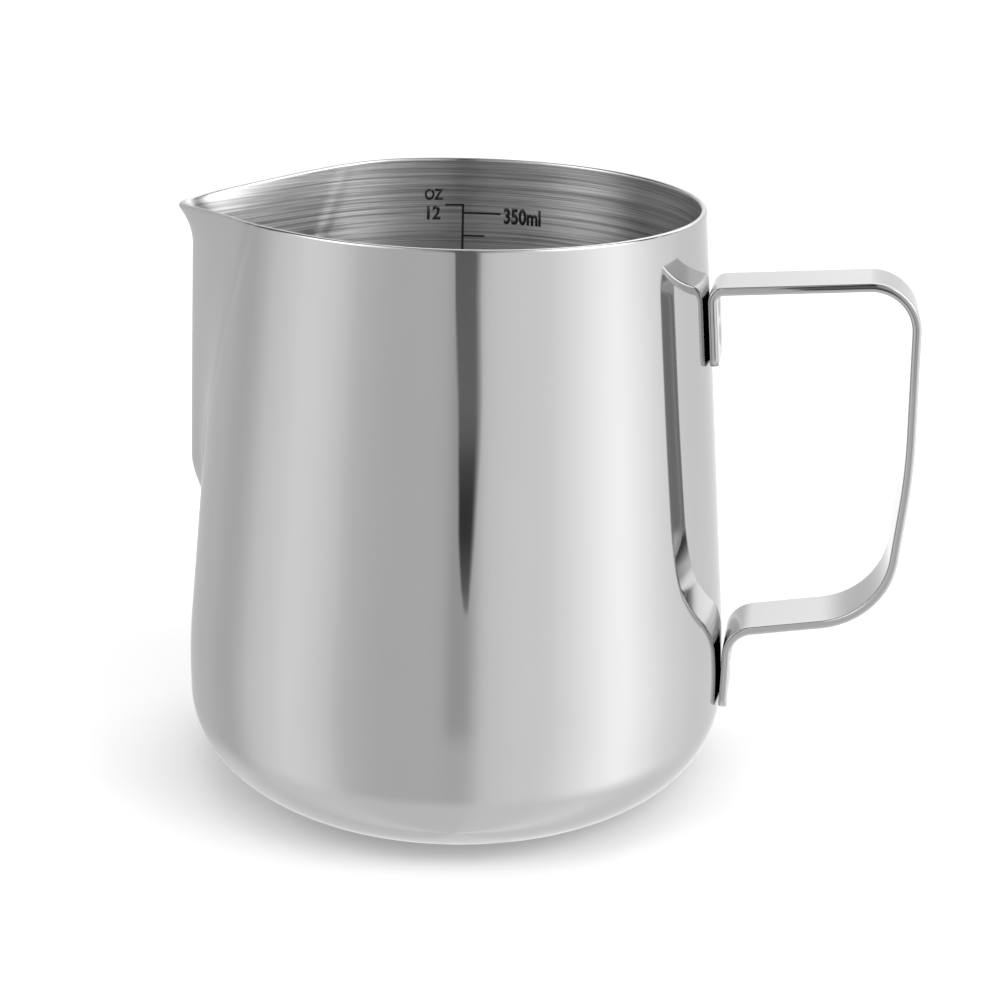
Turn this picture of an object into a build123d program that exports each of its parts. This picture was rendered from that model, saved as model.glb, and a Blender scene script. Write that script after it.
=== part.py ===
from build123d import *
import math
import os

# Milk frothing pitcher, 350 ml. Millimetres, +Z up. The origin is the centre of the base, on the
# surface that the pitcher stands on. The handle points to +X and the spout to -X.

# cup, measured on its outer skin
cup_height = 86.7          # level part of the rim above the base
rim_radius = 34.5          # outer radius of the mouth
belly_radius = 41.2        # outer radius where the belly is widest
belly_height = 14.5        # height of the widest place
belly_curve = 92.0         # radius of the belly's outline, seen from the side
corner_curve = 12.0        # radius of the corner between the base and the belly
wall = 0.9                 # sheet thickness
rim_round = 0.3            # rounding of the rim's two edges

# spout
spout_foot = 37.0          # height where the spout's ridge leaves the belly
spout_span_foot = 9.0      # half width at the spout's foot, in degrees round the cup
spout_span_top = 42.0      # half width at the rim, in degrees
spout_nose = 5.0           # half width of the rounded nose, in degrees
flank_power = 2.2          # 1 gives flanks that meet the cup in a crease, more gives softer ones
ridge_radius = 42.6        # distance of the ridge from the cup's axis, below the lip
ridge_lean = 0.045         # how much the ridge leans in for each millimetre up
ridge_rise = 8.0           # height over which the ridge rises out of the belly
lip_reach = 6.3            # how far the pouring lip would flare at the full height of the cup
lip_height = 8.5           # height of the flared stretch below the rim
dip_start = 15.0           # the rim starts to dip this far ahead of the cup's axis
dip_curve = 122.0          # radius of the dip, seen from the side
nose_stations = 15         # points along the spout's outline in each section of the loft

# handle, one bent strip
strip_width = 10.0
strip_thickness = 1.25
strip_edge = 0.35          # rounding along the strip's edges
foot_end_round = 1.5       # rounding of the corners at the strip's two ends
seat_gap = 0.05            # gap between a foot and the wall where they are nearest
upper_foot_low = 65.3      # height of the upper foot's end
lower_foot_low = 12.2      # height of the lower foot's end
top_arm_height = 76.4      # height where the top arm leaves the upper foot
grip_top = (64.4, 79.1)    # corner between the top arm and the grip: reach and height
grip_middle = (65.75, 52.0)    # outermost place of the grip
grip_low = (64.3, 29.45)   # corner between the grip and the lower arm
lower_arm_height = 24.8    # height where the lower arm meets the lower foot
upper_foot_bend = 1.6      # bend radii, all on the middle of the strip
grip_top_bend = 6.4
grip_middle_bend = 95.0
grip_low_bend = 12.0
lower_foot_bend = 4.2

# spot welds, two on each foot
weld_radius = 1.6
weld_depth = 0.45          # how deep a nugget reaches into the wall
weld_dimple = 0.15         # how far a nugget's outer face lies below the foot's face
upper_welds = (73.2, 69.2)     # heights of the nuggets in the upper foot
lower_welds = (20.2, 15.6)     # heights of the nuggets in the lower foot

os.makedirs("parts", exist_ok=True)

# The straight wall is tangent to the belly's arc and ends at the rim.
belly_centre = (belly_radius - belly_curve, belly_height)
rim_run, rim_climb = rim_radius - belly_centre[0], cup_height - belly_centre[1]
lean = math.atan2(rim_climb, rim_run) - math.acos(belly_curve / math.hypot(rim_run, rim_climb))


def cup_radius(height):
    """Outer radius of the round cup, on its belly arc or on the straight wall above it."""
    climb = height - belly_centre[1]
    if climb < belly_curve * math.sin(lean):
        return belly_centre[0] + math.sqrt(belly_curve**2 - climb**2)
    return rim_radius + (cup_height - height) * math.tan(lean)


# ---- the round cup, revolved ----


def cup_solid(inset, top):
    """Solid of the round cup up to a height, all faces but the top moved inwards by inset."""
    base = belly_radius - corner_curve
    with BuildPart() as solid:
        with BuildSketch(Plane.XZ):
            with BuildLine():
                floor = Line((0, inset), (base, inset))
                corner = CenterArc((base, corner_curve), corner_curve - inset, -90, 90)
                low_belly = Line(corner @ 1, (belly_radius - inset, belly_height))
                belly = CenterArc(belly_centre, belly_curve - inset, 0, math.degrees(lean))
                top_radius = rim_radius + (cup_height - top) * math.tan(lean)
                cone = Line(belly @ 1, (top_radius - inset / math.cos(lean), top))
                lid = Line(cone @ 1, (0, top))
                Line(lid @ 1, floor @ 0)
            make_face()
        revolve(axis=Axis.Z)
    return solid.part


# ---- the upper cup with its spout, lofted ----


def ridge_reach(height):
    """How far the ridge stands out from the round cup, without the lip."""
    ridge = ridge_radius - ridge_lean * (height - spout_foot)
    risen = min(1.0, (height - spout_foot) / ridge_rise)
    return (ridge - cup_radius(height)) * math.sin(math.pi / 2 * risen)


def lip_flare(height):
    """How much further the lip stands out at its middle."""
    share = max(0.0, 1 - (cup_height - height) / lip_height)
    return lip_reach * share**2


def spout_span(height):
    """Half width of the spout, in degrees round the cup."""
    share = (height - spout_foot) / (cup_height - spout_foot)
    return spout_span_foot + (spout_span_top - spout_span_foot) * share


def skin_radius(angle, height):
    """Outer radius at an angle, in degrees either side of the spout's ridge."""
    span = spout_span(height)
    blunt = math.hypot(span, spout_nose) - spout_nose
    across = (math.hypot(angle, spout_nose) - spout_nose) / blunt
    flank = max(0.0, 1 - across) ** flank_power
    return cup_radius(height) + ridge_reach(height) * flank + lip_flare(height) * flank**2


def skin_point(angle, height, inset):
    """Point of the outer skin, moved inwards by inset along the skin's normal in plan."""
    radius = skin_radius(angle, height)
    step = 0.01
    slope = (skin_radius(angle + step, height) - radius) / math.radians(step)
    around = math.radians(180 + angle)
    tilt = math.atan2(slope, radius) if abs(angle) < spout_span(height) else 0.0
    x = radius * math.cos(around) - inset * math.cos(around - tilt)
    y = radius * math.sin(around) - inset * math.sin(around - tilt)
    return Vector(x, y)


def steps(low, high, count):
    """Evenly spaced values from low up to, but without, high."""
    return [low + (high - low) * k / count for k in range(count)]


# The sections lie closer together where the ridge rises and where the lip flares.
ridge_full = spout_foot + ridge_rise
lip_foot = cup_height - lip_height
section_heights = steps(spout_foot, ridge_full, 3) + steps(ridge_full, lip_foot, 5)
section_heights += steps(lip_foot, cup_height, 4) + [cup_height]


def upper_solid(inset):
    """Loft of the cup with its spout, its sides moved inwards by inset."""
    plan_inset = inset / math.cos(lean)
    with BuildPart() as solid:
        for height in section_heights:
            span = spout_span(height)
            angles = steps(-span, span, nose_stations - 1) + [span]
            with BuildSketch(Plane.XY.offset(height)):
                with BuildLine():
                    nose = Spline([skin_point(angle, height, plan_inset) for angle in angles])
                    back = (cup_radius(height) - plan_inset, 0)
                    ThreePointArc(nose @ 1, back, nose @ 0)
                make_face()
        loft()
    return solid.part


lower_skin = cup_solid(0, spout_foot)
lower_hollow = cup_solid(wall, spout_foot)
upper_skin = upper_solid(0)
upper_hollow = upper_solid(wall)

# ---- what is above the rim: level over the cup, dipping towards the spout's tip ----

with BuildPart() as rim_trim:
    far = 2 * belly_radius
    dip_drop = dip_curve - math.sqrt(dip_curve**2 - (far - dip_start) ** 2)
    with BuildSketch(Plane.XZ):
        with BuildLine():
            start = (-dip_start, cup_height)
            dip = RadiusArc(start, (-far, cup_height - dip_drop), -dip_curve)
            Polyline(dip @ 1, (-far, 2 * cup_height), (-dip_start, 2 * cup_height), start)
        make_face()
    extrude(amount=far, both=True)

# ---- spot welds: a nugget goes through its foot and part of the wall ----

seat = seat_gap + strip_thickness / 2    # from the wall to the middle of a foot's strip
upper_seats = [
    Plane(origin=(cup_radius(height), 0, height), z_dir=(math.cos(lean), 0, math.sin(lean)))
    for height in upper_welds
]
lower_seats = [Plane(origin=(belly_radius, 0, height), z_dir=(1, 0, 0)) for height in lower_welds]


def plugs(seats, reach):
    """Round plugs that start inside the wall and end at a distance reach outside it."""
    with BuildPart() as solids:
        for plane in seats:
            with BuildSketch(plane.offset(-weld_depth)):
                Circle(weld_radius)
            extrude(amount=weld_depth + reach)
    return solids.part


nugget_reach = seat_gap + strip_thickness - weld_dimple
bore_reach = seat_gap + 2 * strip_thickness
weld_bores = [plugs(upper_seats, bore_reach), plugs(lower_seats, bore_reach)]

# ---- the cup ----

with BuildPart() as pitcher_body:
    add(lower_skin)
    add(upper_skin)
    add(lower_hollow, mode=Mode.SUBTRACT)
    add(upper_hollow, mode=Mode.SUBTRACT)
    add(rim_trim.part, mode=Mode.SUBTRACT)
    add(weld_bores, mode=Mode.SUBTRACT)
    rim_edges = pitcher_body.edges().filter_by(lambda edge: edge.center().Z > lip_foot)
    rim_edges = rim_edges.filter_by(lambda edge: edge.length > rim_radius / 2)
    fillet(rim_edges, rim_round)
pitcher_body.part.label = "pitcher_body"
export_step(pitcher_body.part, "parts/pitcher_body.step")

# ---- handle ----


def crosses_strip(edge):
    """Whether an edge goes straight through the strip's thickness."""
    return abs(edge.length - strip_thickness) < 0.001


with BuildPart() as handle:
    upper_end = (cup_radius(upper_foot_low) + seat / math.cos(lean), upper_foot_low)
    upper_corner = (cup_radius(top_arm_height) + seat / math.cos(lean), top_arm_height)
    lower_corner = (belly_radius + seat, lower_arm_height)
    lower_end = (belly_radius + seat, lower_foot_low)
    corners = [upper_end, upper_corner, grip_top, grip_middle, grip_low, lower_corner, lower_end]
    bends = [upper_foot_bend, grip_top_bend, grip_middle_bend, grip_low_bend, lower_foot_bend]
    with BuildLine(Plane.XZ) as middle:
        FilletPolyline(corners, radius=bends)
    start = Plane(origin=middle.line @ 0, x_dir=(0, 1, 0), z_dir=middle.line % 0)
    with BuildSketch(start):
        Rectangle(strip_width, strip_thickness)
    sweep()
    fillet(handle.edges().filter_by(crosses_strip), foot_end_round)
    fillet(handle.edges().filter_by(lambda edge: not crosses_strip(edge)), strip_edge)
    add(weld_bores, mode=Mode.SUBTRACT)
handle.part.label = "handle"
export_step(handle.part, "parts/handle.step")

# ---- the nuggets ----

with BuildPart() as upper_spot_welds:
    add(plugs(upper_seats, nugget_reach))
upper_spot_welds.part.label = "upper_spot_welds"
export_step(upper_spot_welds.part, "parts/upper_spot_welds.step")

with BuildPart() as lower_spot_welds:
    add(plugs(lower_seats, nugget_reach))
lower_spot_welds.part.label = "lower_spot_welds"
export_step(lower_spot_welds.part, "parts/lower_spot_welds.step")
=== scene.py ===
import math

import bmesh
import bpy
from mathutils import Matrix, Vector


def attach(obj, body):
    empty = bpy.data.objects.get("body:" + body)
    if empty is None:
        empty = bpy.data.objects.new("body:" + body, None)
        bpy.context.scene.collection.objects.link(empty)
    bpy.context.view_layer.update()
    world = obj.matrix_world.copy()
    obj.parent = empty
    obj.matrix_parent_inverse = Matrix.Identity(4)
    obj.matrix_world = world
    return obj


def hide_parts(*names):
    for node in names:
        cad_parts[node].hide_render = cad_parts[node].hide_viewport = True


# A 350 ml milk frothing pitcher: one drawn steel cup with a pressed spout, and a bent strip handle
# spot welded to it. Metres, +Z up, spout to -X, handle to +X, origin at the centre of the base.

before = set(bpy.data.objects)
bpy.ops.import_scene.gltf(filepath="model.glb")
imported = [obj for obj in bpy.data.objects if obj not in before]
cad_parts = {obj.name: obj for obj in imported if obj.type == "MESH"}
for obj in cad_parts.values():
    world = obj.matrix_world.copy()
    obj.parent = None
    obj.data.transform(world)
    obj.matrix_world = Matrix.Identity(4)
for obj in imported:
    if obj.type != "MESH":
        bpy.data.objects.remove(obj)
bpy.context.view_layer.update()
scene = bpy.context.scene
mm = 0.001


# A field stands for one output of a node, so that a shape's rule can be written as arithmetic.
class Field:
    def __init__(self, tree, socket):
        self.tree = tree
        self.socket = socket

    def calc(self, operation, *others):
        step = self.tree.nodes.new("ShaderNodeMath")
        step.operation = operation
        for place, value in enumerate((self,) + others):
            feed(self.tree, step.inputs[place], value)
        return Field(self.tree, step.outputs[0])

    def __add__(self, other):
        return self.calc("ADD", other)

    def __sub__(self, other):
        return self.calc("SUBTRACT", other)

    def __mul__(self, other):
        return self.calc("MULTIPLY", other)

    def __truediv__(self, other):
        return self.calc("DIVIDE", other)

    def __pow__(self, other):
        return self.calc("POWER", other)

    __radd__ = __add__
    __rmul__ = __mul__

    def __rsub__(self, other):
        return self.calc("MULTIPLY", -1.0) + other

    def atLeast(self, low):
        return self.calc("MAXIMUM", low)

    def atMost(self, high):
        return self.calc("MINIMUM", high)

    def below(self, other):
        return self.calc("LESS_THAN", other)

    def sin(self):
        return self.calc("SINE")

    def cos(self):
        return self.calc("COSINE")

    def tan(self):
        return self.calc("TANGENT")

    def root(self):
        return self.atLeast(0.0).calc("SQRT")


def feed(tree, socket, value):
    if isinstance(value, Field):
        tree.links.new(value.socket, socket)
    elif isinstance(value, bpy.types.NodeSocket):
        tree.links.new(value, socket)
    elif value is not None:
        socket.default_value = value


def node(tree, kind, inputs=None, **settings):
    made = tree.nodes.new(kind)
    for name, value in settings.items():
        setattr(made, name, value)
    for name, value in (inputs or {}).items():
        feed(tree, made.inputs[name], value)
    return made


def choose(share, low, high):
    return low + (high - low) * share      # low where share is 0, high where it is 1


def hypot(a, b):
    return (a * a + b * b).root()


def axes(tree, vectorSocket):
    parts = node(tree, "ShaderNodeSeparateXYZ", {0: vectorSocket})
    return [Field(tree, parts.outputs[k]) for k in range(3)]


def vector(tree, x, y, z):
    return node(tree, "ShaderNodeCombineXYZ", {0: x, 1: y, 2: z}).outputs[0]


# A tree's named inputs come from a piece's dictionary of sizes.
def newTree(name, sizes, takesMesh=False):
    tree = bpy.data.node_groups.new(name, "GeometryNodeTree")
    if takesMesh:
        tree.interface.new_socket(name="Geometry", in_out="INPUT", socket_type="NodeSocketGeometry")
    tree.interface.new_socket(name="Geometry", in_out="OUTPUT", socket_type="NodeSocketGeometry")
    for label, value in sizes.items():
        kind = "NodeSocketInt" if isinstance(value, int) else "NodeSocketFloat"
        tree.interface.new_socket(name=label, in_out="INPUT", socket_type=kind)
    entry = tree.nodes.new("NodeGroupInput")
    given = {label: Field(tree, entry.outputs[label]) for label in sizes}
    return tree, entry, given


def endTree(tree, geometry, material):
    realized = node(tree, "GeometryNodeRealizeInstances", {0: geometry})
    painted = node(tree, "GeometryNodeSetMaterial", {0: realized.outputs[0], "Material": material})
    out = tree.nodes.new("NodeGroupOutput")
    tree.links.new(painted.outputs[0], out.inputs[0])


def growMesh(obj, tree, sizes):
    modifier = obj.modifiers.new(tree.name, "NODES")
    modifier.node_group = tree
    for item in tree.interface.items_tree:
        if item.in_out == "INPUT" and item.name in sizes:
            modifier[item.identifier] = sizes[item.name]


def settle(obj):
    graph = bpy.context.evaluated_depsgraph_get()
    shaped = obj.evaluated_get(graph)
    made = bpy.data.meshes.new_from_object(shaped, preserve_all_data_layers=True, depsgraph=graph)
    obj.modifiers.clear()
    obj.data = made
    made.name = obj.name
    return obj


def newPiece(name, mesh=None):
    obj = bpy.data.objects.new(name, mesh or bpy.data.meshes.new(name))
    scene.collection.objects.link(obj)
    return obj


def report(stage, obj):
    faces = sum(len(p.vertices) - 2 for p in obj.data.polygons)
    print(stage, obj.name, faces, "triangles")


def newMaterial(name):
    material = bpy.data.materials.new(name)
    material.use_nodes = True
    tree = material.node_tree
    shader = tree.nodes["Principled BSDF"]
    return material, tree, shader


def noise(tree, where, scale, stretch=(1, 1, 1), detail=3.0, roughness=0.55, turn=(0, 0, 0)):
    placed = node(tree, "ShaderNodeMapping", {0: where, "Scale": stretch, "Rotation": turn})
    made = node(tree, "ShaderNodeTexNoise", {
        "Vector": placed.outputs[0], "Scale": scale, "Detail": detail, "Roughness": roughness})
    return Field(tree, made.outputs["Fac"])


def ramp(tree, value, low, high):
    made = node(tree, "ShaderNodeMapRange", {
        "Value": value, "From Min": low, "From Max": high}, interpolation_type="SMOOTHSTEP")
    return Field(tree, made.outputs[0])


def greys(tree, share, low, high):
    made = node(tree, "ShaderNodeMix", {"Factor": share}, data_type="RGBA")
    made.inputs["A"].default_value = (*low, 1)
    made.inputs["B"].default_value = (*high, 1)
    return made.outputs["Result"]


def bump(tree, height, distance, normal=None):
    made = node(tree, "ShaderNodeBump", {"Strength": 1.0, "Distance": distance, "Height": height})
    feed(tree, made.inputs["Normal"], normal)
    return made.outputs[0]


polish = {
    "deep": (0.505, 0.505, 0.505),      # colour range of the bare steel
    "light": (0.535, 0.535, 0.535),
    "roughness": 0.028,
    "cloud": 0.022,             # how much the roughness clouds over
    "speckle": 0.012,
    "hair": 0.03,               # how much rougher a hair scratch is
    "wear": 0.22,               # how much rougher the scuffed patches by the base are
    "ripple": 0.010 * mm,       # height of the rolled sheet's faint waves
    "line": 0.0004 * mm,        # height of the polishing lines
    "scratch": 0.0012 * mm,     # depth of a hair scratch
}


def polishedSteel(name, lineStretch, wearHeight=0.0):
    material, tree, shader = newMaterial(name)
    where = node(tree, "ShaderNodeTexCoord").outputs["Object"]
    cloud = noise(tree, where, 30, (1, 1, 0.35), detail=4)
    fine = noise(tree, where, 240, (1, 1, 0.2), detail=2)
    lines = noise(tree, where, 900, lineStretch, detail=2)
    hairsA = noise(tree, where, 420, (1, 0.03, 0.05), detail=1, turn=(0.3, 0.9, 0.4))
    hairsB = noise(tree, where, 380, (0.04, 1, 0.03), detail=1, turn=(1.1, 0.2, 0.7))
    hairs = ramp(tree, hairsA, 0.66, 0.72) + ramp(tree, hairsB, 0.67, 0.73)
    shade = greys(tree, ramp(tree, cloud, 0.3, 0.7), polish["deep"], polish["light"])
    feed(tree, shader.inputs["Base Color"], shade)
    rough = polish["roughness"] + ramp(tree, cloud, 0.35, 0.75) * polish["cloud"]
    rough = rough + fine * polish["speckle"] + hairs * polish["hair"]
    if wearHeight:
        height = axes(tree, where)[2]
        patches = ramp(tree, noise(tree, where, 160, detail=5), 0.45, 0.7)
        rough = rough + ramp(tree, height, wearHeight, 0.0) * patches * polish["wear"]
    feed(tree, shader.inputs["Roughness"], rough)
    waves = noise(tree, where, 22, (1, 1, 0.5), detail=1)
    first = bump(tree, waves, polish["ripple"])
    second = bump(tree, lines, polish["line"], normal=first)
    feed(tree, shader.inputs["Normal"], bump(tree, hairs, -polish["scratch"], normal=second))
    shader.inputs["Metallic"].default_value = 1.0
    return material


brushing = {
    "deep": (0.36, 0.36, 0.36),       # colour range from one brush line to the next
    "light": (0.82, 0.82, 0.82),
    "roughness": 0.27,
    "spread": 0.06,             # how much the roughness changes between brush lines
    "patch": 0.05,
    "anisotropic": 1.0,
    "groove": 0.022 * mm,
    "streaks": 250.0,           # brush lines in each stretch as high as "reach"
    "reach": 0.0345,
    "round": 1.8,               # changes of a brush line on its way round the wall
    "roundFloor": 0.9,          # and round the floor
    "floorTop": 0.0022,         # the floor's surface lies below this height
}


def brushedSteel(name):
    material, tree, shader = newMaterial(name)
    where = node(tree, "ShaderNodeTexCoord").outputs["Object"]
    x, y, z = axes(tree, where)
    reach = hypot(x, y)

    def lines(changes, height):
        density = height * brushing["streaks"] / brushing["reach"]
        return vector(tree, x / reach * changes, y / reach * changes, density)

    along = lines(brushing["round"], z)
    onFloor = lines(brushing["roundFloor"], reach)
    flat = z.below(brushing["floorTop"])
    chosen = node(tree, "ShaderNodeMix", {"Factor": flat, 4: along, 5: onFloor}, data_type="VECTOR")
    lined = chosen.outputs[1]
    broad = noise(tree, lined, 0.33, detail=3, roughness=0.7)
    fine = noise(tree, lined, 1.0, detail=4, roughness=0.75)
    patch = noise(tree, where, 40, detail=3)
    share = ramp(tree, broad * 0.5 + fine * 0.5, 0.38, 0.62)
    feed(tree, shader.inputs["Base Color"], greys(tree, share, brushing["deep"], brushing["light"]))
    rough = brushing["roughness"] + share * brushing["spread"] + patch * brushing["patch"]
    feed(tree, shader.inputs["Roughness"], rough)
    # the brush ran round the cup, so the shine spreads up the wall
    facing = node(tree, "ShaderNodeNewGeometry").outputs["Normal"]
    around = vector(tree, y * -1.0, x, 0.0)
    across = node(tree, "ShaderNodeVectorMath", {0: facing, 1: around}, operation="CROSS_PRODUCT")
    upWall = node(tree, "ShaderNodeVectorMath", {0: across.outputs[0]}, operation="NORMALIZE")
    feed(tree, shader.inputs["Tangent"], upWall.outputs[0])
    feed(tree, shader.inputs["Normal"], bump(tree, fine + broad * 0.6, brushing["groove"]))
    shader.inputs["Metallic"].default_value = 1.0
    shader.inputs["Anisotropic"].default_value = brushing["anisotropic"]
    return material


def groundSteel(name):
    material, tree, shader = newMaterial(name)
    where = node(tree, "ShaderNodeTexCoord").outputs["Object"]
    grain = noise(tree, where, 700, detail=3)
    nicks = ramp(tree, noise(tree, where, 260, detail=5), 0.62, 0.72)
    feed(tree, shader.inputs["Base Color"], greys(tree, grain, (0.46, 0.46, 0.46), (0.58, 0.58, 0.58)))
    feed(tree, shader.inputs["Roughness"], grain * 0.14 + 0.12 + nicks * 0.15)
    feed(tree, shader.inputs["Normal"], bump(tree, grain - nicks, 0.004 * mm))
    shader.inputs["Metallic"].default_value = 1.0
    return material


def weldSteel(name):
    material, tree, shader = newMaterial(name)
    where = node(tree, "ShaderNodeTexCoord").outputs["Object"]
    grain = noise(tree, where, 1500, detail=4)
    rings = noise(tree, where, 500, detail=2)
    feed(tree, shader.inputs["Base Color"], greys(tree, rings, (0.44, 0.435, 0.43), (0.56, 0.555, 0.55)))
    feed(tree, shader.inputs["Roughness"], grain * 0.22 + 0.2)
    feed(tree, shader.inputs["Normal"], bump(tree, grain + rings, 0.012 * mm))
    shader.inputs["Metallic"].default_value = 1.0
    return material


def printInk(name):
    material, tree, shader = newMaterial(name)
    where = node(tree, "ShaderNodeTexCoord").outputs["Object"]
    wear = ramp(tree, noise(tree, where, 1400, detail=4), 0.6, 0.8)
    feed(tree, shader.inputs["Base Color"], greys(tree, wear, (0.012, 0.012, 0.013), (0.09, 0.09, 0.09)))
    feed(tree, shader.inputs["Roughness"], wear * 0.2 + 0.45)
    feed(tree, shader.inputs["Normal"], bump(tree, wear, 0.01 * mm))
    return material


cup = {
    "Cup height": 86.7 * mm, "Rim radius": 34.5 * mm,
    "Belly radius": 41.2 * mm, "Belly height": 14.5 * mm, "Belly curve": 92.0 * mm, "Corner curve": 12.0 * mm,
    "Spout foot": 37.0 * mm, "Spout span foot": math.radians(9.0), "Spout span top": math.radians(42.0),
    "Spout nose": math.radians(5.0), "Flank power": 2.2,
    "Ridge radius": 42.6 * mm, "Ridge lean": 0.045, "Ridge rise": 8.0 * mm,
    "Crease out": math.radians(3.8), "Crease width": math.radians(1.3), "Crease depth": 0.07 * mm,
    "Lip reach": 6.3 * mm, "Lip height": 8.5 * mm, "Dip start": 15.0 * mm, "Dip curve": 122.0 * mm,
    "Columns": 289, "Rows": 150,
}
cupShell = {
    "wall": 0.9 * mm, "rimRound": 0.4 * mm,
    "floorRows": 0.05, "cornerRows": 0.17,      # the shares of the rows where the floor and the corner end
    "gather": 0.45,                             # how closely the columns gather round the spout
    "creaseFoot": 0.2, "creaseGrowth": 3.0,     # share of the spout's height where the creases start
}


def wallSides(size):
    run = size["Rim radius"] - size["Belly radius"] + size["Belly curve"]
    climb = size["Cup height"] - size["Belly height"]
    return climb, run


def leanField(size):
    climb, run = wallSides(size)
    return climb.calc("ARCTAN2", run) - (size["Belly curve"] / hypot(climb, run)).calc("ARCCOSINE")


def roundRadius(size, lean, height):
    climb = (height - size["Belly height"]).atLeast(0.0)
    arc = size["Belly curve"]
    belly = size["Belly radius"] - arc + (arc * arc - climb * climb).root()
    cone = size["Rim radius"] + (size["Cup height"] - height) * lean.tan()
    return choose(climb.below(arc * lean.sin()), cone, belly)


def skinRadius(size, lean, angle, height):
    above = (height - size["Spout foot"]).atLeast(0.0)
    plain = roundRadius(size, lean, height)
    risen = (above / size["Ridge rise"]).atMost(1.0)
    ridge = size["Ridge radius"] - size["Ridge lean"] * above
    ridgeReach = (ridge - plain) * (risen * (math.pi / 2)).sin()
    lip = (1.0 - (size["Cup height"] - height) / size["Lip height"]).atLeast(0.0)
    flare = size["Lip reach"] * lip * lip
    share = above / (size["Cup height"] - size["Spout foot"])
    span = choose(share, size["Spout span foot"], size["Spout span top"])
    nose = size["Spout nose"]
    across = (hypot(angle, nose) - nose) / (hypot(span, nose) - nose)
    flank = (1.0 - across).atLeast(0.0) ** size["Flank power"]
    # a faint crease runs beside each flank
    grown = (share * cupShell["creaseGrowth"] - cupShell["creaseGrowth"] * cupShell["creaseFoot"])
    grown = grown.atLeast(0.0).atMost(1.0)
    aside = (angle.calc("ABSOLUTE") - span - size["Crease out"] * grown) / size["Crease width"]
    crease = size["Crease depth"] * grown / ((aside * aside) * (aside * aside) + 1.0)
    return plain + ridgeReach * flank + flare * flank * flank - crease


def rimHeight(size, lean, angle):
    height = size["Cup height"]
    for _ in range(5):      # the rim's height and its reach settle together
        reach = (skinRadius(size, lean, angle, height) * angle.cos() - size["Dip start"]).atLeast(0.0)
        drop = size["Dip curve"] - (size["Dip curve"] * size["Dip curve"] - reach * reach).root()
        height = size["Cup height"] - drop
    return height


def makeCup(finishes):
    tree, _, size = newTree("cupSkin", cup)
    grid = node(tree, "GeometryNodeMeshGrid", {
        "Size X": 1.0, "Size Y": 1.0, "Vertices X": size["Columns"], "Vertices Y": size["Rows"]})
    u, v, _ = axes(tree, node(tree, "GeometryNodeInputPosition").outputs[0])
    v = v + 0.5
    angle = u * math.tau - (u * math.tau).sin() * cupShell["gather"]
    lean = leanField(size)
    base = size["Belly radius"] - size["Corner curve"]
    floorEnd, cornerEnd = cupShell["floorRows"], cupShell["cornerRows"]
    onFloor = (v / floorEnd).atMost(1.0)
    turned = ((v - floorEnd) / (cornerEnd - floorEnd)).atLeast(0.0).atMost(1.0)
    turned = (turned - 1.0) * (math.pi / 2)
    risen = ((v - cornerEnd) / (1.0 - cornerEnd)).atLeast(0.0)
    cornerRadius = base * onFloor + size["Corner curve"] * turned.cos() * onFloor.calc("FLOOR")
    cornerHeight = size["Corner curve"] + size["Corner curve"] * turned.sin()
    height = cornerHeight + (rimHeight(size, lean, angle) - size["Corner curve"]) * risen
    onWall = (v - cornerEnd).calc("GREATER_THAN", 0.00001)
    radius = choose(onWall, cornerRadius, skinRadius(size, lean, angle, height))
    place = vector(tree, radius * angle.cos() * -1.0, radius * angle.sin() * -1.0, height)
    moved = node(tree, "GeometryNodeSetPosition", {0: grid.outputs[0], "Position": place})
    merged = node(tree, "GeometryNodeMergeByDistance", {0: moved.outputs[0], "Distance": 0.01 * mm})
    smooth = node(tree, "GeometryNodeSetShadeSmooth", {0: merged.outputs[0]})
    endTree(tree, smooth.outputs[0], finishes["outside"])
    obj = newPiece("steel_cup")
    growMesh(obj, tree, cup)
    settle(obj)
    obj.data.materials.clear()
    for surface in ("outside", "inside", "rim"):
        obj.data.materials.append(finishes[surface])
    sheet = obj.modifiers.new("wall", "SOLIDIFY")
    sheet.thickness = cupShell["wall"]
    sheet.offset = -1.0
    sheet.use_even_offset = True
    sheet.use_quality_normals = True
    sheet.material_offset = 1          # the inner wall takes the second finish
    sheet.material_offset_rim = 2      # and the rim the third
    edge = obj.modifiers.new("rim", "BEVEL")
    edge.width = cupShell["rimRound"]
    edge.segments = 3
    edge.limit_method = "ANGLE"
    edge.angle_limit = math.radians(60)
    edge.material = 2
    settle(obj)
    report("cup drawn:", obj)
    return obj


handle = {
    "Strip width": 10.0 * mm, "Strip thickness": 1.25 * mm,
    "Strip edge": 0.35 * mm, "End round": 1.5 * mm,
    "Spacing": 0.3 * mm, "Section spacing": 0.22 * mm,
}
seatGap = 0.05 * mm
handleRoute = [      # reach, height and bend radius of each corner, from the upper foot's end down
    ("upper wall", 65.3 * mm, 0.0), ("upper wall", 76.4 * mm, 1.6 * mm),
    (64.4 * mm, 79.1 * mm, 6.4 * mm),
    (65.75 * mm, 52.0 * mm, 95.0 * mm), (64.3 * mm, 29.45 * mm, 12.0 * mm),
    ("belly", 24.8 * mm, 4.2 * mm), ("belly", 12.2 * mm, 0.0),
]
welds = {
    "radius": 1.6 * mm, "dimple": 0.15 * mm,
    "upper": (73.2 * mm, 69.2 * mm), "lower": (20.2 * mm, 15.6 * mm),      # heights of the welds
    "pressed": 1.1,                         # how far the foot is pressed in, in dimples
    "flat": 0.75, "edge": 1.25,             # the dimple's flat bottom and its edge, in radii
    "crown": 0.02 * mm, "ring": 0.018 * mm, "rings": 12.0,     # the mark's raised middle and its rings
    "brim": -0.06 * mm, "root": -0.3 * mm,                     # its edge and its hidden underside
    "outer": 0.8,                           # the mark's radius, in radii of the weld
}


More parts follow.
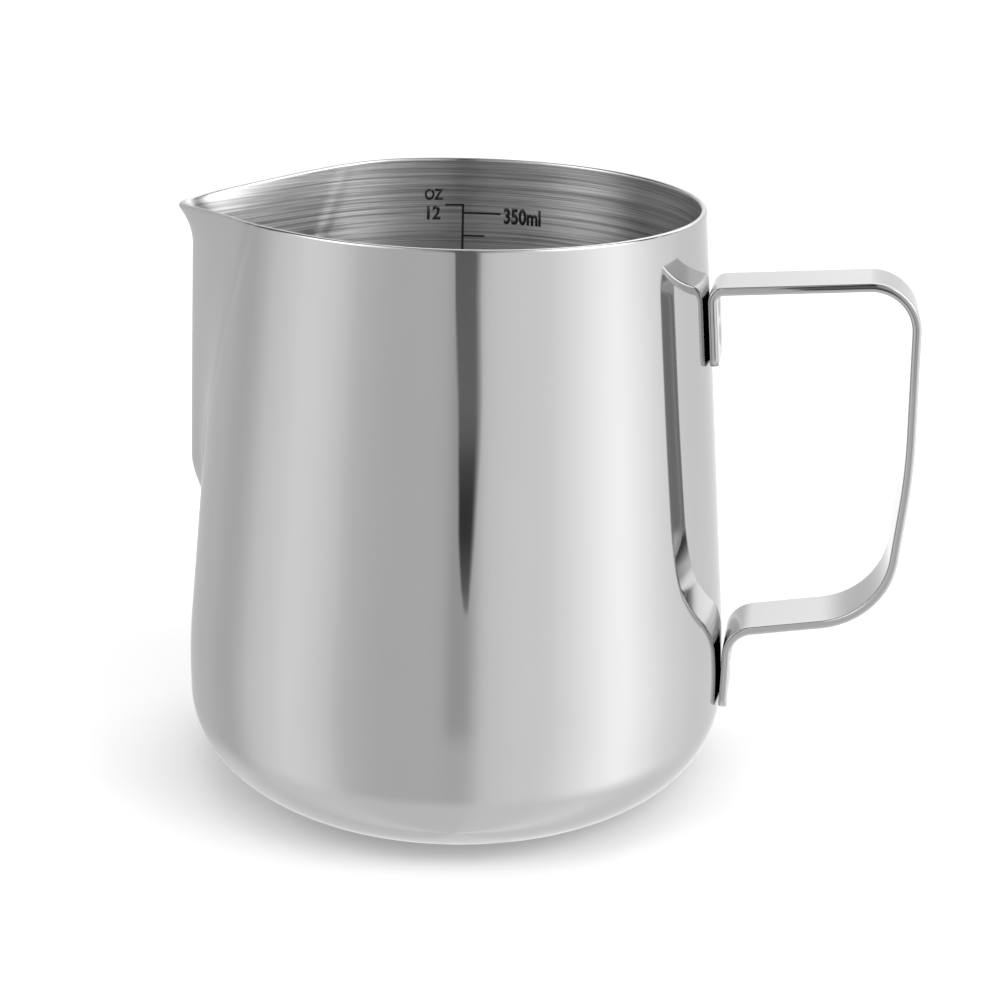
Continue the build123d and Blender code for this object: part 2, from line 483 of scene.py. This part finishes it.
def plainLean():
    climb, run = wallSides(cup)
    return math.atan2(climb, run) - math.acos(cup["Belly curve"] / math.hypot(climb, run))


def plainRadius(height):
    lean = plainLean()
    climb = max(0.0, height - cup["Belly height"])
    if climb < cup["Belly curve"] * math.sin(lean):
        return cup["Belly radius"] - cup["Belly curve"] + math.sqrt(cup["Belly curve"] ** 2 - climb ** 2)
    return cup["Rim radius"] + (cup["Cup height"] - height) * math.tan(lean)


def makeHandle(material):
    lean = plainLean()
    seat = seatGap + handle["Strip thickness"] / 2
    corners = []
    for reach, height, bend in handleRoute:
        if reach == "upper wall":
            reach = plainRadius(height) + seat / math.cos(lean)
        elif reach == "belly":
            reach = cup["Belly radius"] + seat
        corners.append((reach, 0.0, height))
    mesh = bpy.data.meshes.new("strip_handle")
    mesh.from_pydata(corners, [(k, k + 1) for k in range(len(corners) - 1)], [])
    bends = mesh.attributes.new("bend", "FLOAT", "POINT")
    bends.data.foreach_set("value", [bend for _, _, bend in handleRoute])
    obj = newPiece("strip_handle", mesh)

    tree, entry, size = newTree("bentStrip", handle, takesMesh=True)
    path = node(tree, "GeometryNodeMeshToCurve", {0: entry.outputs["Geometry"]})
    bend = node(tree, "GeometryNodeInputNamedAttribute", {"Name": "bend"}, data_type="FLOAT")
    rounded = node(tree, "GeometryNodeFilletCurve", {
        "Curve": path.outputs[0], "Count": 32, "Radius": bend.outputs[0]}, mode="POLY")
    even = node(tree, "GeometryNodeResampleCurve", {
        "Curve": rounded.outputs[0], "Length": size["Spacing"]}, mode="LENGTH")
    section = node(tree, "GeometryNodeCurvePrimitiveQuadrilateral", {
        "Width": size["Strip width"], "Height": size["Strip thickness"]})
    soft = node(tree, "GeometryNodeFilletCurve", {
        "Curve": section.outputs[0], "Count": 4, "Radius": size["Strip edge"]}, mode="POLY")
    fineSection = node(tree, "GeometryNodeResampleCurve", {
        "Curve": soft.outputs[0], "Length": size["Section spacing"]}, mode="LENGTH")
    # each point keeps its place on the strip's middle line and its distance along it
    middle = node(tree, "GeometryNodeCaptureAttribute", {0: even.outputs[0]}, domain="POINT")
    middle.capture_items.new("VECTOR", "middle")
    middle.capture_items.new("FLOAT", "along")
    middle.capture_items.new("FLOAT", "length")
    tree.links.new(node(tree, "GeometryNodeInputPosition").outputs[0], middle.inputs[1])
    along = node(tree, "GeometryNodeSplineParameter")
    tree.links.new(along.outputs["Length"], middle.inputs[2])
    tree.links.new(node(tree, "GeometryNodeSplineLength").outputs[0], middle.inputs[3])
    swept = node(tree, "GeometryNodeCurveToMesh", {
        "Curve": middle.outputs[0], "Profile Curve": fineSection.outputs[0], "Fill Caps": True})
    fromEnd = Field(tree, middle.outputs[2])
    fromEnd = fromEnd.atMost(Field(tree, middle.outputs[3]) - fromEnd)

    def pulledIn(half, corner):
        short = (corner - fromEnd).atLeast(0.0)
        return (half - corner + (corner * corner - short * short).root()) / half

    wide = pulledIn(size["Strip width"] * 0.5, size["End round"])
    thick = pulledIn(size["Strip thickness"] * 0.5, size["Strip edge"])
    px, py, pz = axes(tree, node(tree, "GeometryNodeInputPosition").outputs[0])
    mx, _, mz = axes(tree, middle.outputs[1])
    place = vector(tree, mx + (px - mx) * thick, py * wide, mz + (pz - mz) * thick)
    shaped = node(tree, "GeometryNodeSetPosition", {0: swept.outputs[0], "Position": place})
    smooth = node(tree, "GeometryNodeSetShadeSmooth", {0: shaped.outputs[0]})
    endTree(tree, smooth.outputs[0], material)
    growMesh(obj, tree, handle)
    settle(obj)
    report("handle bent:", obj)
    return obj


def weldSeats():
    lean = plainLean()
    seats = []
    upperOut = Vector((math.cos(lean), 0, math.sin(lean)))
    for height in welds["upper"]:
        seats.append(("upper", Vector((plainRadius(height), 0, height)), upperOut))
    for height in welds["lower"]:
        seats.append(("lower", Vector((cup["Belly radius"], 0, height)), Vector((1, 0, 0))))
    return seats


def pressWelds(obj):
    # the electrodes leave a shallow round dimple with a soft edge in the foot's outer face
    face = seatGap + handle["Strip thickness"]
    for _, seat, outward in weldSeats():
        for vertex in obj.data.vertices:
            gap = vertex.co - seat
            depth = gap.dot(outward)
            if abs(depth - face) > 0.1 * mm:
                continue
            away = (gap - outward * depth).length / welds["radius"]
            if away < welds["edge"]:
                rise = max(0.0, away - welds["flat"]) / (welds["edge"] - welds["flat"])
                share = 0.5 + 0.5 * math.cos(math.pi * rise)
                vertex.co -= outward * welds["dimple"] * welds["pressed"] * share
    obj.data.update()


def makeWeldMarks(name, group, material):
    # each mark is a thin lens that fills the bottom of its dimple
    rings, steps = 8, 40
    outer = welds["outer"] * welds["radius"]
    mesh = bmesh.new()
    for kind, seat, outward in weldSeats():
        if kind != group:
            continue
        top = seat + outward * (seatGap + handle["Strip thickness"] - welds["dimple"])
        side = Vector((0, 1, 0))
        upward = outward.cross(side)

        def liftAt(share):
            if share == 1:
                return welds["brim"]
            return welds["crown"] * (1 - share ** 2) + welds["ring"] * math.cos(share * welds["rings"])

        def disc(isFront):
            centreLift = welds["crown"] if isFront else welds["root"]
            centre = mesh.verts.new(top + outward * centreLift)
            loops = []
            for ring in range(1, rings + 1):
                share = ring / rings
                middle = top + outward * (liftAt(share) if isFront else welds["root"])
                loop = []
                for k in range(steps):
                    turn = math.tau * k / steps
                    spoke = side * math.cos(turn) + upward * math.sin(turn)
                    loop.append(mesh.verts.new(middle + spoke * outer * share))
                loops.append(loop)
            for k in range(steps):
                nextOne = (k + 1) % steps
                a, b = loops[0][k], loops[0][nextOne]
                mesh.faces.new((centre, a, b) if isFront else (centre, b, a))
                for inner, outside in zip(loops, loops[1:]):
                    quad = (inner[k], outside[k], outside[nextOne], inner[nextOne])
                    mesh.faces.new(quad if isFront else quad[::-1])
            return loops[-1]

        front, rear = disc(True), disc(False)
        for k in range(steps):
            nextOne = (k + 1) % steps
            mesh.faces.new((front[k], rear[k], rear[nextOne], front[nextOne]))
    bmesh.ops.recalc_face_normals(mesh, faces=mesh.faces)
    for face in mesh.faces:
        face.smooth = True
    data = bpy.data.meshes.new(name)
    mesh.to_mesh(data)
    mesh.free()
    data.materials.append(material)
    obj = newPiece(name, data)
    report("weld marks pressed:", obj)
    return obj


# The printed scale is laid out flat and then wrapped round the inner wall.
scale = {
    "Wall": 0.9 * mm, "Lift": 0.015 * mm, "Print depth": 0.03 * mm, "Line width": 0.36 * mm,
}
scaleAngle = 101.0      # degrees round the cup of the scale's own zero
stemAngle = 0.6         # the scale's upright line, left of that zero
stemEnds = (21.7 * mm, 79.1 * mm)
tickWidth = 0.85        # a tick's width, in line widths
letterWeight = 0.035    # how far the letters are fattened
ticks = [      # height, and the two ends in degrees to the left (-) or right of the scale's zero
    (78.95 * mm, -5.4, -0.6), (77.6 * mm, -0.6, 9.6), (73.8 * mm, -0.6, 5.3),
    (65.0 * mm, -0.6, 9.6), (53.2 * mm, -0.6, 9.6), (42.0 * mm, -0.6, 9.6),
    (31.4 * mm, -0.6, 9.6), (21.7 * mm, -0.6, 9.6),
    (64.0 * mm, -5.4, -0.6), (50.1 * mm, -5.4, -0.6), (37.2 * mm, -5.4, -0.6), (25.2 * mm, -5.4, -0.6),
]
labels = [      # words, middle angle, middle height, letter height, width
    ("OZ", -8.55, 80.7 * mm, 1.9 * mm, 3.1 * mm), ("12", -8.5, 77.65 * mm, 2.35 * mm, 2.2 * mm),
    ("350ml", 15.6, 77.35 * mm, 2.7 * mm, 6.2 * mm),
    ("300", 14.0, 65.0 * mm, 2.7 * mm, 4.2 * mm), ("250", 14.0, 53.2 * mm, 2.7 * mm, 4.2 * mm),
    ("200", 14.0, 42.0 * mm, 2.7 * mm, 4.2 * mm), ("150", 14.0, 31.4 * mm, 2.7 * mm, 4.2 * mm),
    ("10", -8.5, 64.0 * mm, 2.35 * mm, 2.2 * mm), ("8", -8.5, 50.1 * mm, 2.35 * mm, 1.2 * mm),
    ("6", -8.5, 37.2 * mm, 2.35 * mm, 1.2 * mm),
]


def makeScale(material):
    flat = bmesh.new()
    reach = cup["Rim radius"]
    for words, angle, height, tall, wide in labels:
        curve = bpy.data.curves.new("label", "FONT")
        curve.body = words
        curve.align_x = "CENTER"
        curve.offset = letterWeight
        curve.resolution_u = 4
        text = newPiece("label", curve)
        letters = bpy.data.meshes.new_from_object(text)
        xs = [v.co.x for v in letters.vertices]
        ys = [v.co.y for v in letters.vertices]
        spanX, spanY = max(xs) - min(xs), max(ys) - min(ys)
        centreX, centreY = (max(xs) + min(xs)) / 2, (max(ys) + min(ys)) / 2
        for vertex in letters.vertices:
            x = (vertex.co.x - centreX) / spanX * wide + math.radians(angle) * reach
            y = (vertex.co.y - centreY) / spanY * tall + height
            vertex.co = (x, y, 0)
        flat.from_mesh(letters)
        bpy.data.objects.remove(text)
    bmesh.ops.remove_doubles(flat, verts=flat.verts, dist=0.001 * mm)
    letterCount = len(flat.verts)
    base = bpy.data.meshes.new("scale_print")
    flat.to_mesh(base)
    flat.free()

    # the bars are points with a width and a height, and the tree stands a small grid on each
    mesh = bmesh.new()
    mesh.from_mesh(base)
    sizes = [(1.0, 1.0)] * letterCount
    for height, left, right in ticks:
        mesh.verts.new((math.radians((left + right) / 2) * reach, height, 0))
        sizes.append((math.radians(right - left) * reach, scale["Line width"] * tickWidth))
    mesh.verts.new((math.radians(-stemAngle) * reach, (stemEnds[0] + stemEnds[1]) / 2, 0))
    sizes.append((scale["Line width"], stemEnds[1] - stemEnds[0]))
    mesh.to_mesh(base)
    mesh.free()
    extent = base.attributes.new("extent", "FLOAT_VECTOR", "POINT")
    extent.data.foreach_set("vector", [value for w, h in sizes for value in (w, h, 1.0)])
    isBar = base.attributes.new("isBar", "BOOLEAN", "POINT")
    isBar.data.foreach_set("value", [k >= letterCount for k in range(len(sizes))])
    obj = newPiece("scale_print", base)

    given = dict(scale)
    for label in ("Cup height", "Rim radius", "Belly radius", "Belly height", "Belly curve"):
        given[label] = cup[label]
    given["Start angle"] = math.radians(scaleAngle)
    tree, entry, size = newTree("wrappedScale", given, takesMesh=True)
    bar = node(tree, "GeometryNodeInputNamedAttribute", {"Name": "isBar"}, data_type="BOOLEAN")
    barSize = node(tree, "GeometryNodeInputNamedAttribute", {"Name": "extent"}, data_type="FLOAT_VECTOR")
    parted = node(tree, "GeometryNodeSeparateGeometry", {
        0: entry.outputs["Geometry"], 1: bar.outputs[0]}, domain="POINT")
    brick = node(tree, "GeometryNodeMeshGrid", {
        "Size X": 1.0, "Size Y": 1.0, "Vertices X": 9, "Vertices Y": 3})
    stood = node(tree, "GeometryNodeInstanceOnPoints", {
        "Points": parted.outputs[0], "Instance": brick.outputs[0], "Scale": barSize.outputs[0]})
    bars = node(tree, "GeometryNodeRealizeInstances", {0: stood.outputs[0]})
    both = tree.nodes.new("GeometryNodeJoinGeometry")
    tree.links.new(bars.outputs[0], both.inputs[0])
    tree.links.new(parted.outputs[1], both.inputs[0])
    thick = node(tree, "GeometryNodeExtrudeMesh", {
        0: both.outputs[0], "Offset": (0.0, 0.0, 1.0),
        "Offset Scale": size["Print depth"], "Individual": False})
    back = node(tree, "GeometryNodeFlipFaces", {0: both.outputs[0]})
    closed = tree.nodes.new("GeometryNodeJoinGeometry")
    tree.links.new(thick.outputs[0], closed.inputs[0])
    tree.links.new(back.outputs[0], closed.inputs[0])
    merged = node(tree, "GeometryNodeMergeByDistance", {0: closed.outputs[0], "Distance": 0.0005 * mm})
    fx, fy, fz = axes(tree, node(tree, "GeometryNodeInputPosition").outputs[0])
    lean = leanField(size)
    inner = roundRadius(size, lean, fy) - size["Wall"] / lean.cos() - size["Lift"] - fz
    around = size["Start angle"] - fx / size["Rim radius"]
    place = vector(tree, inner * around.cos(), inner * around.sin(), fy)
    wrapped = node(tree, "GeometryNodeSetPosition", {0: merged.outputs[0], "Position": place})
    endTree(tree, wrapped.outputs[0], material)
    growMesh(obj, tree, given)
    settle(obj)
    report("scale printed:", obj)
    return obj


finishes = {
    "outside": polishedSteel("polishedCup", lineStretch=(0.05, 0.05, 1), wearHeight=9 * mm),
    "inside": brushedSteel("brushedInside"),
    "rim": groundSteel("groundRim"),
    "strip": polishedSteel("polishedStrip", lineStretch=(0.05, 1, 0.05)),
    "weld": weldSteel("weldMark"),
    "ink": printInk("scaleInk"),
}
steelCup = makeCup(finishes)
stripHandle = makeHandle(finishes["strip"])
pressWelds(stripHandle)
upperMarks = makeWeldMarks("upper_weld_marks", "upper", finishes["weld"])
lowerMarks = makeWeldMarks("lower_weld_marks", "lower", finishes["weld"])
scalePrint = makeScale(finishes["ink"])

for piece, cadNode, slotName in (
        (steelCup, "pitcher_body", "cup_steel"),
        (stripHandle, "handle", "handle_steel"),
        (upperMarks, "upper_spot_welds", "weld_steel"),
        (lowerMarks, "lower_spot_welds", "weld_steel")):
    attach(piece, "root")
    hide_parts(cadNode)
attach(scalePrint, "root")
print("pieces ride on the frame")


paleFloor = {"size": 3.0, "deep": (0.90, 0.90, 0.90), "light": (0.92, 0.92, 0.92), "roughness": 0.8}


def makeFloor():
    half = paleFloor["size"] / 2
    corners = [(-half, -half, 0), (half, -half, 0), (half, half, 0), (-half, half, 0)]
    mesh = bpy.data.meshes.new("floor")
    mesh.from_pydata(corners, [], [(0, 1, 2, 3)])
    material, tree, shader = newMaterial("paleFloor")
    where = node(tree, "ShaderNodeTexCoord").outputs["Object"]
    shade = greys(tree, noise(tree, where, 60, detail=4), paleFloor["deep"], paleFloor["light"])
    feed(tree, shader.inputs["Base Color"], shade)
    shader.inputs["Roughness"].default_value = paleFloor["roughness"]
    mesh.materials.append(material)
    floor = newPiece("floor", mesh)
    floor.visible_glossy = False      # the studio's soft walls are what the steel mirrors


makeFloor()
print("floor laid")

# Each pair is a direction round the pitcher in degrees, 0 towards -Y and 90 towards +X, and the
# brightness of the studio's wall there.
studio = [
    (-180, 1.25), (-165, 0.95), (-150, 0.66), (-138, 0.675), (-128, 0.70), (-118, 0.72),
    (-108, 0.69), (-100, 0.69), (-93, 0.766), (-85, 0.917), (-78, 1.01), (-70, 1.087),
    (-63, 1.16), (-57, 1.15), (-50, 1.10), (-43, 1.00), (-36, 0.856), (-30, 0.79),
    (-23, 0.744), (-15, 0.723), (-4, 0.723), (2, 0.715), (6, 0.70), (10, 0.69), (14, 0.71),
    (17, 0.77), (19.5, 0.85), (22, 0.93), (28, 1.00), (38, 1.05), (46, 1.075), (52, 1.15),
    (60, 1.29), (66, 1.40), (72, 1.52), (78, 1.61), (84, 1.645), (91, 1.546), (98, 1.42),
    (106, 1.27), (112, 1.18), (120, 1.10), (130, 1.00), (140, 0.957), (150, 0.927),
    (160, 0.93), (172, 0.98), (180, 1.25),
]
upperStudio = [      # the same for the directions well above the horizon, which light the inside
    (-180, 1.6), (-160, 1.4), (-140, 0.6), (-122, 0.05), (-106, 0.05), (-90, 0.5), (-76, 2.0),
    (-60, 3.0), (-42, 1.8), (-24, 0.85), (-10, 0.6), (10, 0.4), (32, 0.8), (48, 1.1), (64, 2.8),
    (80, 4.6), (92, 4.2), (102, 1.2), (110, 0.05), (124, 0.05), (136, 0.7), (148, 2.2), (180, 1.6),
]
brightest = 5.0     # a brightness curve runs from 0 to this
# a dimmer strip round the dark card
dip = {"toward": 12.0, "spread": 5.5, "depth": 0.16, "fade": (-0.40, -0.26)}
ceiling = 0.40      # brightness overhead
ground = 0.95       # brightness below, where the pale bench shows in the belly
backdrop = 1.05     # brightness of the plain background itself


def glowCurve(tree, turn, table):
    curve = node(tree, "ShaderNodeFloatCurve", {"Value": turn})
    line = curve.mapping.curves[0]
    for place, (degrees, glow) in enumerate(table):
        spot = (degrees / 360 + 0.5, glow / brightest)
        if place == 0:
            line.points[0].location = spot
        elif place == len(table) - 1:
            line.points[-1].location = spot
        else:
            line.points.new(*spot)
    curve.mapping.update()
    return Field(tree, curve.outputs[0]) * brightest


def makeStudio():
    world = bpy.data.worlds.new("studio")
    world.use_nodes = True
    tree = world.node_tree
    tree.nodes.clear()
    x, y, z = axes(tree, node(tree, "ShaderNodeTexCoord").outputs["Generated"])
    turn = x.calc("ARCTAN2", y * -1.0) / math.tau + 0.5
    walls = glowCurve(tree, turn, studio)
    aside = (turn * 360.0 - (180.0 + dip["toward"])) / dip["spread"]
    aside = aside * aside
    walls = walls - ramp(tree, z, *dip["fade"]) * dip["depth"] / (aside * aside + 1.0)
    upper = ramp(tree, z, 0.20, 0.50)
    walls = choose(upper, walls, glowCurve(tree, turn, upperStudio))
    high = ramp(tree, z, 0.78, 0.98)
    low = ramp(tree, z * -1.0, 0.48, 0.70) * 0.75
    glow = choose(high, walls, ceiling)
    glow = choose(low, glow, ground)
    seen = Field(tree, node(tree, "ShaderNodeLightPath").outputs["Is Camera Ray"])
    strength = choose(seen, glow, backdrop)
    light = node(tree, "ShaderNodeBackground", {"Color": (1, 1, 1, 1), "Strength": strength})
    out = tree.nodes.new("ShaderNodeOutputWorld")
    tree.links.new(light.outputs[0], out.inputs[0])
    scene.world = world


makeStudio()

topLight = {"height": 1.4, "size": 1.6, "power": 9.0}


def makeTopLight():
    data = bpy.data.lights.new("top_light", "AREA")
    data.energy = topLight["power"]
    data.size = topLight["size"]
    light = bpy.data.objects.new("top_light", data)
    light.location = (0, 0, topLight["height"])
    light.visible_glossy = False      # it brightens the floor and the print, not the steel
    light.visible_camera = False
    scene.collection.objects.link(light)


makeTopLight()
print("studio lit")

darkCard = [      # the dark gap between the studio's walls: height, left and right edge, and brightness
    (0.900, -0.030, 0.046, 0.03), (0.300, -0.030, 0.046, 0.03), (0.180, -0.026, 0.042, 0.06),
    (0.140, -0.018, 0.033, 0.16), (0.081, -0.017, 0.034, 0.19),
    (0.070, -0.015, 0.034, 0.20), (0.045, -0.009, 0.038, 0.21), (0.036, -0.007, 0.037, 0.18),
    (0.028, -0.006, 0.035, 0.10), (0.019, -0.004, 0.032, 0.06), (0.010, -0.003, 0.029, 0.06),
    (0.003, 0.000, 0.026, 0.10), (-0.004, 0.004, 0.022, 0.16), (-0.010, 0.010, 0.019, 0.30),
]
cardAway = 0.2615      # distance from the pitcher's axis, just behind the camera
cardRound = 0.1921     # radians round the pitcher
cardFade = {"start": 0.72, "power": 1.5, "bright": 0.75}      # how its right side fades into the wall
cardEdge = {"columns": 2, "below": 0.046, "share": 0.55}      # the softer lower part of its left side


def makeDarkCard():
    columns = 24
    right = Vector((math.cos(cardRound), math.sin(cardRound), 0))
    away = Vector((math.sin(cardRound), -math.cos(cardRound), 0)) * cardAway
    points, glows, faces = [], [], []
    for height, left, end, glow in darkCard:
        for k in range(columns + 1):
            share = k / columns
            points.append(away + right * (left + (end - left) * share) + Vector((0, 0, height)))
            soft = max(0.0, (share - cardFade["start"]) / (1 - cardFade["start"])) ** cardFade["power"]
            isEdge = k < cardEdge["columns"] and height < cardEdge["below"]
            edge = cardEdge["share"] if isEdge else 0.0
            glows.append(glow + (cardFade["bright"] - glow) * max(soft, edge))
    row = columns + 1
    for j in range(len(darkCard) - 1):
        for k in range(columns):
            faces.append((j * row + k, j * row + k + 1, (j + 1) * row + k + 1, (j + 1) * row + k))
    mesh = bpy.data.meshes.new("dark_card")
    mesh.from_pydata(points, [], faces)
    mesh.attributes.new("glow", "FLOAT", "POINT").data.foreach_set("value", glows)
    material = bpy.data.materials.new("darkCard")
    material.use_nodes = True
    tree = material.node_tree
    tree.nodes.clear()
    glow = node(tree, "ShaderNodeAttribute", attribute_name="glow").outputs["Fac"]
    light = node(tree, "ShaderNodeEmission", {"Color": (1, 1, 1, 1), "Strength": glow})
    out = tree.nodes.new("ShaderNodeOutputMaterial")
    tree.links.new(light.outputs[0], out.inputs[0])
    mesh.materials.append(material)
    card = newPiece("dark_card", mesh)
    card.visible_camera = False
    card.visible_diffuse = False
    card.visible_shadow = False


makeDarkCard()
print("dark card stood")

view = {
    "place": (0.0, -260.0 * mm, 136.352 * mm),
    "turn": 0.023725, "down": 0.352908, "roll": 0.026434,      # radians
    "round": 0.1921,      # and then the camera goes this far round the pitcher
    "lens": 65.54,
}


def makeCamera():
    data = bpy.data.cameras.new("camera")
    data.lens = view["lens"]
    data.sensor_width = 36.0
    data.clip_start = 0.01
    camera = bpy.data.objects.new("camera", data)
    scene.collection.objects.link(camera)
    turn, down = view["turn"], view["down"]
    ahead = Vector((math.sin(turn) * math.cos(down), math.cos(turn) * math.cos(down), -math.sin(down)))
    right = Vector((math.cos(turn), -math.sin(turn), 0))
    upward = right.cross(ahead)
    sideways = right * math.cos(view["roll"]) + upward * math.sin(view["roll"])
    upright = upward * math.cos(view["roll"]) - right * math.sin(view["roll"])
    pose = Matrix((sideways, upright, -ahead)).transposed().to_4x4()
    pose.translation = Vector(view["place"])
    camera.matrix_world = Matrix.Rotation(view["round"], 4, "Z") @ pose
    scene.camera = camera


makeCamera()
scene.view_settings.view_transform = "Standard"
print("camera set")
